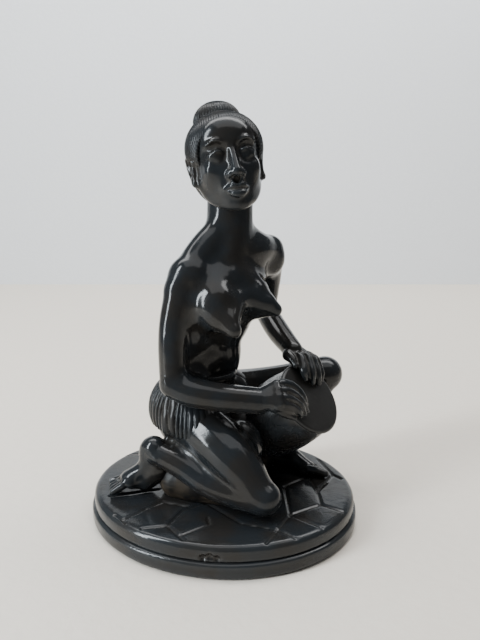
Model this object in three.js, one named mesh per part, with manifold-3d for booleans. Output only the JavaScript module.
// A carved figure of a kneeling drummer on an oval plinth, in millimetres, +Z up.
// The origin is the middle of the plinth's underside and +X runs along its long axis.
// The figure kneels on its right knee, with the left foot planted, and holds a goblet
// drum between its thighs. Every carved subject is a solid of its own. Neighbours keep
// a joint line of GAP between them: the solid that is made later is hollowed to fit.
import * as THREE from "three";
import { mergeVertices } from "three/addons/utils/BufferGeometryUtils.js";
import Module from "manifold-3d";

const wasm = await Module();
wasm.setup();

// ---- Driving dimensions -------------------------------------------------------------
const GAP = 0.3; // joint line between neighbouring pieces
const PLINTH_LENGTH = 100; // along X
const PLINTH_WIDTH = 84; // along Y
const FOOT_HEIGHT = 5.4; // lower band of the plinth
const TOP_HEIGHT = 5.3; // paved upper slab, above the joint line
const FOOT_ROUND = 1.6; // rounding of the lower band's edges
const TOP_INSET = 1; // the slab is this much smaller all round
const TOP_ROUND = 2.2; // rounding of the slab's edges
const GROOVE_WIDTH = 0.9; // incised lines of the paving
const GROOVE_DEPTH = 0.5;
const FIGURE_TURN = 12; // degrees, the figure's turn on the plinth about +Z
const CHEST_TURN = 39; // degrees, her left-right line from the figure's X
const HIPS_TURN = 50;
const FACE_TURN = 10;
const EAR = [1.6, 2.8, 4.6]; // half sizes
const HAIRLINE_SLOPE = 27; // degrees, the hairline leans back from upright
const DRUM_RADIUS = 13.9;
const DRUM_LENGTH = 33;
const DRUM_SWELL = 0.9; // the barrel swells this much past its rim
const DRUM_BASE_RADIUS = 10.5;
const SKIN_THICKNESS = 1.8; // drum skin with its hoop
const PLEATS = 26;
const SKIRT_TOP = 44; // heights above the seat
const SKIRT_HEM = 23.6;
const SKIRT_WAIST = [11.2, 9.6]; // half width and half depth at the top
const SKIRT_FLARE = [5.6, 6.2]; // what they gain down to the hem
const PLEAT_DEPTH = 0.45;
const SIDES = 10; // facets round a limb
const STEPS = 6; // facets along a limb

const SEAT = FOOT_HEIGHT + GAP + TOP_HEIGHT; // level that the figure kneels on

// ---- Landmarks of the body, in the figure's own turn, heights above its seat ---------
const AT = {
  rightShoulder: [-13.6, -8, 77.8],
  rightUpperArm: [-16.2, -11, 61],
  rightElbow: [-16.4, -14, 43.4],
  rightForearm: [-2, -16, 39.8],
  rightWrist: [13, -14.4, 37.6],
  leftShoulder: [17.4, 18, 86.6],
  leftUpperArm: [18, 27, 73],
  leftElbow: [17, 33, 60],
  leftForearm: [21.5, 21.5, 54],
  leftWrist: [26.6, 9.4, 49],
  rightHip: [-12, -2, 27],
  rightLap: [-7.4, -6.4, 24.4],
  rightThigh: [4, -17, 18],
  rightKnee: [13.8, -25, 7.6],
  rightCalf: [-3.2, -19, 9.2],
  rightLowCalf: [-13, -14, 13.2],
  rightAnkle: [-22.6, -9.8, 16.4],
  rightHeel: [-24.4, -8.4, 17.6],
  rightArch: [-27.4, -8, 10.6],
  rightBall: [-34, -7.4, 5.2],
  rightToes: [-39.6, -6.8, 2.8],
  leftHip: [-5, 12, 30],
  leftLap: [1, 16, 30],
  leftThigh: [18, 24, 29],
  leftKnee: [40.6, 21, 36.4],
  leftShin: [32.5, 19.5, 21.5],
  leftAnkle: [22.4, 15.6, 7.5],
  leftHeel: [17, 14.4, 4.4],
  leftInstep: [28, 10.2, 4.2],
  leftToes: [37.6, 6, 2.2],
  pelvis: [-11.6, 6, 32],
  waist: [-5.4, 3.4, 49],
  ribs: [-0.6, 3.4, 69],
  chest: [1.6, 4.6, 77],
  rightCollar: [-5, 0, 83],
  collar: [2.2, 4.6, 85],
  leftCollar: [11, 10, 87],
  rightBreast: [-1.4, -9.6, 69.6],
  rightNipple: [2.8, -18.6, 62.6],
  leftBreast: [11.4, 1.4, 70.4],
  leftNipple: [20, -1.6, 66.4],
  neckRoot: [2.8, 5, 87],
  neckTop: [3, 5.4, 106],
  skull: [2.4, 7.4, 119.6],
  face: [3.4, 1.6, 114],
  chin: [4.4, -2.6, 105.4],
  noseBridge: [4.6, -5.4, 119],
  noseTip: [5.2, -9, 111.6],
  rightEar: [-9.8, 7, 112.4],
  leftEar: [15.2, 10.6, 112.6],
  hair: [2.2, 8.4, 120.6],
  hairline: [3, 3.2, 116.6],
  bun: [-1.6, 14.2, 132],
  webHeel: [-16, -7, 5],
  webShin: [-8, -8.5, 5],
  webKnee: [5, -14.5, 3],
  lapWeb: [2, 2, 9],
  drumHead: [32.4, -2, 34.6],
};
const DRUM_AXIS = new THREE.Vector3(0.595, -0.504, 0.625).normalize();

const point = (p) => new THREE.Vector3(...p);
const degrees = THREE.MathUtils.degToRad;

// ---- Solids from three.js geometry --------------------------------------------------
function solidOf(geometry) {
  const bare = geometry.clone();
  bare.deleteAttribute("normal");
  bare.deleteAttribute("uv");
  const merged = mergeVertices(bare, 1e-4);
  return new wasm.Manifold(
    new wasm.Mesh({
      numProp: 3,
      vertProperties: merged.attributes.position.array,
      triVerts: new Uint32Array(merged.index.array),
    }),
  );
}

const join = (...solids) => solids.reduce((a, b) => a.add(b));

// The largest body of a solid, without the crumbs that a hollow leaves at its edge.
function largest(solid) {
  const bodies = solid.decompose();
  return bodies.reduce((a, b) => (a.volume() > b.volume() ? a : b));
}

// An ellipsoid. radii are its half sizes and spin turns it about Z, in degrees.
function blob(centre, radii, { spin = 0, grow = 0, sides = SIDES } = {}) {
  const g = new THREE.SphereGeometry(1, sides, Math.round(sides * 0.6));
  g.rotateX(Math.PI / 2);
  g.scale(...radii.map((r) => r + grow));
  g.rotateZ(degrees(spin));
  g.translate(...centre);
  return solidOf(g);
}

// A round limb through points, with a radius at each, and a ball at both ends.
function limb(points, radii, { grow = 0, sides = SIDES, steps = STEPS } = {}) {
  const curve = new THREE.CatmullRomCurve3(points.map(point), false, "centripetal");
  const size = new THREE.SplineCurve(radii.map((r, i) => new THREE.Vector2(i, r)));
  const frames = curve.computeFrenetFrames(steps);
  const tube = new THREE.CylinderGeometry(1, 1, 1, sides, steps);
  const at = tube.attributes.position;
  for (let i = 0; i < at.count; i++) {
    const step = Math.round((0.5 - at.getY(i)) * steps);
    const share = step / steps;
    const radius = size.getPoint(curve.getUtoTmapping(share)).y + grow;
    const spot = curve
      .getPointAt(share)
      .addScaledVector(frames.normals[step], at.getX(i) * radius)
      .addScaledVector(frames.binormals[step], at.getZ(i) * radius);
    at.setXYZ(i, spot.x, spot.y, spot.z);
  }
  const ends = [0, points.length - 1].map((i) =>
    blob(points[i], [radii[i], radii[i], radii[i]], { grow, sides }),
  );
  return join(solidOf(tube), ...ends);
}

// A turned shape about Z: profile points are [radius, height], starting and ending on the axis.
function turned(profile, sides) {
  const g = new THREE.LatheGeometry(
    profile.map(([r, z]) => new THREE.Vector2(r, z)),
    sides,
  );
  g.rotateX(Math.PI / 2);
  return g;
}

function fromDrum(geometry) {
  geometry.applyQuaternion(
    new THREE.Quaternion().setFromUnitVectors(new THREE.Vector3(0, 0, 1), DRUM_AXIS),
  );
  geometry.translate(...AT.drumHead);
  return solidOf(geometry);
}

// ---- Plinth -------------------------------------------------------------------------
// A band with round edges between two heights, as a profile to turn.
function band(radius, low, high, round) {
  const corner = 3;
  const turns = Array.from({ length: corner + 1 }, (_, i) => (i / corner) * (Math.PI / 2));
  return [
    [0, low],
    ...turns.map((a) => [
      radius - round * (1 - Math.sin(a)),
      low + round * (1 - Math.cos(a)),
    ]),
    ...turns.map((a) => [
      radius - round * (1 - Math.cos(a)),
      high - round * (1 - Math.sin(a)),
    ]),
    [0, high],
  ];
}

function oval(profile, inset) {
  const half = PLINTH_LENGTH / 2;
  const g = turned(profile, 40);
  g.scale(1, (PLINTH_WIDTH / 2 - inset) / (half - inset), 1);
  return solidOf(g);
}

const plinthFoot = () =>
  oval(band(PLINTH_LENGTH / 2, 0, FOOT_HEIGHT, FOOT_ROUND), 0);

// Incised joints of the crazy paving, as shares of the slab's half length and half width.
const JOINTS = [
  [[-0.76, -0.47], [-0.51, -0.31], [-0.44, -0.27]],
  [[-0.44, -0.59], [-0.36, -0.46], [-0.16, -0.48]],
  [[-0.44, -0.59], [-0.54, -0.79], [-0.51, -0.83]],
  [[-0.62, -0.74], [-0.54, -0.79]],
  [[-0.38, -0.87], [-0.22, -0.79], [-0.18, -0.55], [-0.04, -0.4]],
  [[-0.22, -0.79], [-0.07, -0.94]],
  [[-0.1, -0.89], [0.05, -0.7], [0.02, -0.62]],
  [[-0.04, -0.4], [0.25, -0.63], [0.51, -0.66]],
  [[0.46, -0.85], [0.51, -0.66], [0.57, -0.43], [0.48, 0.02]],
  [[0.51, -0.66], [0.64, -0.74]],
  [[0.57, -0.43], [0.8, -0.56]],
  [[0.57, -0.43], [0.77, -0.22]],
  [[0.48, 0.02], [0.62, 0.22]],
  [[0.65, 0.26], [0.73, -0.01], [0.77, -0.22], [0.92, -0.29]],
  [[0.73, -0.01], [0.83, 0.33], [0.9, 0.27]],
  [[0.83, 0.33], [0.7, 0.62]],
  [[-0.92, 0.3], [-0.72, 0.4], [-0.52, 0.68]],
  [[-0.72, 0.4], [-0.36, 0.5], [-0.2, 0.9]],
  [[-0.36, 0.5], [0.16, 0.6], [0.3, 0.86]],
  [[0.16, 0.6], [0.45, 0.55]],
];

function pavedTop() {
  const low = FOOT_HEIGHT + GAP;
  let slab = oval(band(PLINTH_LENGTH / 2 - TOP_INSET, low, SEAT, TOP_ROUND), TOP_INSET);
  const reach = [PLINTH_LENGTH / 2 - TOP_INSET, PLINTH_WIDTH / 2 - TOP_INSET];
  for (const joint of JOINTS) {
    const bends = joint.map(([x, y]) => new THREE.Vector2(x * reach[0], y * reach[1]));
    for (let i = 1; i < bends.length; i++) {
      const line = bends[i].clone().sub(bends[i - 1]);
      const middle = bends[i].clone().add(bends[i - 1]).divideScalar(2);
      const length = line.length() + GROOVE_WIDTH;
      const g = new THREE.BoxGeometry(length, GROOVE_WIDTH, 2 * GROOVE_DEPTH);
      g.rotateZ(line.angle());
      g.translate(middle.x, middle.y, SEAT);
      slab = slab.subtract(solidOf(g));
    }
  }
  return slab;
}

// The half space below the seat, with the joint line added.
function ground() {
  const g = new THREE.BoxGeometry(2 * PLINTH_LENGTH, 2 * PLINTH_LENGTH, PLINTH_LENGTH);
  g.translate(0, 0, GAP - PLINTH_LENGTH / 2);
  return solidOf(g);
}

// ---- Drum ---------------------------------------------------------------------------
function drumSkin(grow) {
  const r = DRUM_RADIUS + grow;
  const edge = 0.7;
  return fromDrum(
    turned(
      [
        [0, -SKIN_THICKNESS - grow],
        [r, -SKIN_THICKNESS - grow],
        [r, -edge + grow],
        [r - edge, grow],
        [0, grow],
      ],
      30,
    ),
  );
}

function drumShell(grow) {
  const start = -SKIN_THICKNESS - GAP + grow;
  const rows = 6;
  const rim = DRUM_RADIUS - 0.5;
  const barrel = new THREE.SplineCurve([
    new THREE.Vector2(rim, 0),
    new THREE.Vector2(rim + DRUM_SWELL, 0.45),
    new THREE.Vector2(DRUM_BASE_RADIUS, 1),
  ]);
  const profile = [[0, start]];
  for (let i = 0; i <= rows; i++) {
    const { x: radius, y: share } = barrel.getPoint(i / rows);
    profile.push([radius + grow, start - share * (DRUM_LENGTH + 2 * grow)]);
  }
  profile.push([0, start - DRUM_LENGTH - 2 * grow]);
  return fromDrum(turned(profile.reverse(), 24));
}

// A place on the drum: across its skin, up the skin, and out from it.
function onDrum(across, up, out) {
  const side = new THREE.Vector3(DRUM_AXIS.y, -DRUM_AXIS.x, 0).normalize();
  const rise = new THREE.Vector3().crossVectors(side, DRUM_AXIS);
  return point(AT.drumHead)
    .addScaledVector(side, across)
    .addScaledVector(rise, up)
    .addScaledVector(DRUM_AXIS, out)
    .toArray();
}

// ---- Hands --------------------------------------------------------------------------
const FINGER = 1.6; // radius at the knuckle
const FINGERTIP = 1.3;

const RIGHT_FINGERS = [
  [[16.4, 8.2, 3], [9.9, 4.6, 3.6], [8.2, 0.7, 2.8], [6.5, -1.8, 1.7]],
  [[17.6, 6, 3.2], [12.3, 2.2, 3.8], [10.1, -1.2, 2.8], [8, -3.9, 1.7]],
  [[19, 3.6, 3.2], [13.7, 0.3, 3.6], [11.5, -2.4, 2.6], [9.9, -4.5, 1.7]],
  [[20, 1.4, 2.6], [15.2, -1.2, 3], [13.3, -3.2, 2.4], [12.1, -4.5, 1.7]],
];
const LEFT_FINGERS = [
  [[-4, 16.4, 2], [-1.7, 12.1, 2.8], [-0.2, 8.8, 2.6], [-1.1, 6.6, 1.7]],
  [[-6.6, 15.8, 2], [-4.9, 11, 3.2], [-3.5, 7, 3], [-3.8, 4.4, 1.7]],
  [[-9.2, 15, 2], [-8.2, 10.1, 3], [-6.9, 6.1, 2.8], [-6.5, 3, 1.7]],
  [[-11.4, 13.8, 1.8], [-10.8, 9.6, 2.6], [-9.8, 6, 2.4], [-9.2, 3.8, 1.7]],
];
const RIGHT_THUMB = [[20, 1, -0.6], [18, -2.6, 0.2], [15.6, -4.6, 1.5]];
const LEFT_THUMB = [[-1.4, 17.4, -0.8], [1.2, 15.4, 0.6], [1.8, 13, 1.7]];

function hand(wrist, wristRadius, fingers, thumb, palm, grow) {
  const digit = (path, radius) =>
    limb(path.map((p) => onDrum(...p)), [...path.slice(1).map(() => radius), FINGERTIP], {
      grow,
      sides: 6,
      steps: 3,
    });
  const knuckles = fingers.map((f) => onDrum(...f[0]));
  return join(
    limb([wrist, onDrum(...palm)], [wristRadius, wristRadius], { grow, sides: 8, steps: 1 }),
    limb(knuckles, knuckles.map(() => FINGER), { grow, sides: 6, steps: 3 }),
    ...fingers.map((f) => digit(f, FINGER)),
    digit(thumb, FINGER),
  );
}

// ---- Body pieces, each with room to grow for the joint line --------------------------
const pieces = {
  drum_skin: drumSkin,
  drum_shell: drumShell,

  right_hand: (grow) =>
    hand(AT.rightWrist, 4, RIGHT_FINGERS, RIGHT_THUMB, [17, 4.4, 0.8], grow),
  left_hand: (grow) =>
    hand(AT.leftWrist, 3.6, LEFT_FINGERS, LEFT_THUMB, [-6, 15.4, 0], grow),

  skirt(grow) {
    const rows = 4;
    const around = PLEATS * 2;
    const g = new THREE.CylinderGeometry(1, 1, 1, around, rows);
    const at = g.attributes.position;
    for (let i = 0; i < at.count; i++) {
      const share = 0.5 - at.getY(i);
      const angle = Math.atan2(-at.getZ(i), at.getX(i));
      const spread = Math.sin(Math.min(1, share * 1.35) * (Math.PI / 2));
      const pleat = PLEAT_DEPTH * share * Math.cos(angle * PLEATS);
      const rim = Math.hypot(at.getX(i), at.getZ(i)) > 0.5 ? 1 : 0;
      const wide = (SKIRT_WAIST[0] + SKIRT_FLARE[0] * spread + pleat + grow) * rim;
      const deep = (SKIRT_WAIST[1] + SKIRT_FLARE[1] * spread + pleat + grow) * rim;
      const lean = (AT.waist[0] - AT.pelvis[0]) * (1 - spread);
      at.setXYZ(
        i,
        Math.cos(angle) * wide + lean,
        Math.sin(angle) * deep,
        SKIRT_TOP + grow - share * (SKIRT_TOP - SKIRT_HEM + 2 * grow),
      );
    }
    g.rotateZ(degrees(HIPS_TURN));
    g.translate(AT.pelvis[0], AT.pelvis[1], 0);
    return join(
      solidOf(g),
      limb([AT.rightHip, AT.rightLap], [10.4, 9.8], { grow, steps: 2 }),
      limb([AT.leftHip, AT.leftLap], [10.4, 10.2], { grow, steps: 2 }),
    );
  },

  torso: (grow) =>
    join(
      blob(AT.ribs, [14, 10.4, 19], { spin: CHEST_TURN, grow }),
      blob(AT.chest, [17.4, 10.6, 10], { spin: CHEST_TURN, grow }),
      blob(AT.waist, [11, 8.8, 15], { spin: CHEST_TURN, grow }),
      limb(
        [AT.rightShoulder, AT.rightCollar, AT.collar, AT.leftCollar, AT.leftShoulder],
        [5.4, 7, 7.8, 7, 5.4],
        { grow },
      ),
      limb([AT.rightBreast, AT.rightNipple], [7.4, 2.2], { grow, steps: 2 }),
      limb([AT.leftBreast, AT.leftNipple], [7, 2.2], { grow, steps: 2 }),
    ),

  neck: (grow) => limb([AT.neckRoot, AT.neckTop], [8.4, 8], { grow, steps: 4 }),

  head: (grow) =>
    join(
      blob(AT.skull, [12.2, 13, 13.6], { spin: FACE_TURN, grow, sides: 16 }),
      blob(AT.face, [10.6, 9, 13], { spin: FACE_TURN, grow, sides: 14 }),
      blob(AT.chin, [6, 5, 4.6], { spin: FACE_TURN, grow }),
      limb([AT.noseBridge, AT.noseTip], [1.2, 2.1], { grow, sides: 6, steps: 2 }),
      blob(AT.rightEar, EAR, { grow }),
      blob(AT.leftEar, EAR, { grow }),
    ),

  hair_cap: (grow) =>
    blob(AT.hair, [13.3, 13.6, 14], { spin: FACE_TURN, grow, sides: 20 }),

  hair_bun: (grow) => blob(AT.bun, [8.8, 7, 7.4], { spin: FACE_TURN, grow, sides: 14 }),

  right_forearm: (grow) =>
    limb([AT.rightElbow, AT.rightForearm, AT.rightWrist], [4.7, 4.6, 4], { grow }),
  right_upper_arm: (grow) =>
    limb([AT.rightShoulder, AT.rightUpperArm, AT.rightElbow], [6.3, 5, 4.7], { grow }),
  left_forearm: (grow) =>
    limb([AT.leftElbow, AT.leftForearm, AT.leftWrist], [4.6, 4.5, 3.6], { grow }),
  left_upper_arm: (grow) =>
    limb([AT.leftShoulder, AT.leftUpperArm, AT.leftElbow], [6.5, 4.9, 4.4], { grow }),

  right_thigh: (grow) =>
    limb([AT.rightHip, AT.rightThigh, AT.rightKnee], [9.6, 8.8, 6.4], { grow }),
  left_thigh: (grow) =>
    limb([AT.leftHip, AT.leftThigh, AT.leftKnee], [9.8, 9, 7.4], { grow }),
  right_shin: (grow) =>
    limb(
      [AT.rightKnee, AT.rightCalf, AT.rightLowCalf, AT.rightAnkle],
      [6.2, 5, 4.9, 4.4],
      { grow },
    ),
  left_shin: (grow) =>
    limb([AT.leftKnee, AT.leftShin, AT.leftAnkle], [6.6, 6, 4.2], { grow }),
  right_foot: (grow) =>
    join(
      limb(
        [AT.rightHeel, AT.rightArch, AT.rightBall, AT.rightToes],
        [4.4, 3.2, 3, 2.4],
        { grow },
      ),
      ...[-4.4, -2.2, 0, 2.2, 4.4].map((aside) =>
        limb(
          [
            [AT.rightBall[0], AT.rightBall[1] + aside * 0.6, AT.rightBall[2] - 0.6],
            [AT.rightToes[0] - 2, AT.rightToes[1] + aside, AT.rightToes[2] - 0.8],
          ],
          [2.2, 1.7],
          { grow, sides: 6, steps: 2 },
        ),
      ),
    ),
  left_foot: (grow) =>
    join(
      limb([AT.leftHeel, AT.leftInstep, AT.leftToes], [4.4, 3.9, 2.2], { grow, sides: 10 }),
      ...[-3.8, -1.9, 0, 1.9, 3.8].map((aside) =>
        limb(
          [
            [AT.leftInstep[0] + 3, AT.leftInstep[1] + aside * 0.8, AT.leftInstep[2] - 1.2],
            [AT.leftToes[0] + 1.4 + aside * 0.3, AT.leftToes[1] + aside, AT.leftToes[2] - 0.8],
          ],
          [2.3, 1.6],
          { grow, sides: 6, steps: 2 },
        ),
      ),
    ),

  shin_web: (grow) =>
    join(
      limb([AT.webHeel, AT.webShin, AT.webKnee], [7, 8, 8], { grow, sides: 14 }),
      blob(AT.lapWeb, [12, 10, 12], { grow, sides: 14 }),
    ),
};

// ---- Order of fitting ---------------------------------------------------------------
// A piece is hollowed to fit every piece named before it.
const ORDER = [
  "drum_skin",
  "drum_shell",
  "right_hand",
  "left_hand",
  "skirt",
  "torso",
  "neck",
  "head",
  "hair_cap",
  "hair_bun",
  "right_forearm",
  "right_upper_arm",
  "left_forearm",
  "left_upper_arm",
  "right_shin",
  "right_foot",
  "right_thigh",
  "left_thigh",
  "left_shin",
  "left_foot",
  "shin_web",
];

// The hairline: the cap keeps only what lies behind this tilted plane.
function faceWindow() {
  const size = 60;
  const g = new THREE.BoxGeometry(size, size, size);
  g.translate(0, -size / 2, 0);
  g.rotateX(degrees(-HAIRLINE_SLOPE));
  g.rotateZ(degrees(FACE_TURN));
  g.translate(...AT.hairline);
  return solidOf(g);
}

const COLOURS = {
  carving: { color: 0x0d0e10, roughness: 0.22, metalness: 0 },
  web: { color: 0x2a241c, roughness: 0.7, metalness: 0 },
};

function meshOf(name, solid, colour) {
  const made = solid.getMesh();
  const g = new THREE.BufferGeometry()
    .setAttribute("position", new THREE.BufferAttribute(made.vertProperties, 3))
    .setIndex(new THREE.BufferAttribute(made.triVerts, 1));
  g.computeVertexNormals();
  const mesh = new THREE.Mesh(g, new THREE.MeshStandardMaterial(colour));
  mesh.name = name;
  return mesh;
}

const part = new THREE.Group();
part.add(meshOf("plinth_foot", plinthFoot(), COLOURS.carving));
part.add(meshOf("paved_top", pavedTop(), COLOURS.carving));

const figure = new THREE.Group();
figure.rotation.z = degrees(FIGURE_TURN);
figure.position.z = SEAT;
const room = [ground()];
for (const name of ORDER) {
  let solid = pieces[name](0);
  for (const taken of room) solid = solid.subtract(taken);
  if (name === "hair_cap") solid = solid.subtract(faceWindow());
  room.push(pieces[name](GAP));
  const colour = name === "shin_web" ? COLOURS.web : COLOURS.carving;
  figure.add(meshOf(name, largest(solid), colour));
}
part.add(figure);

export default part;
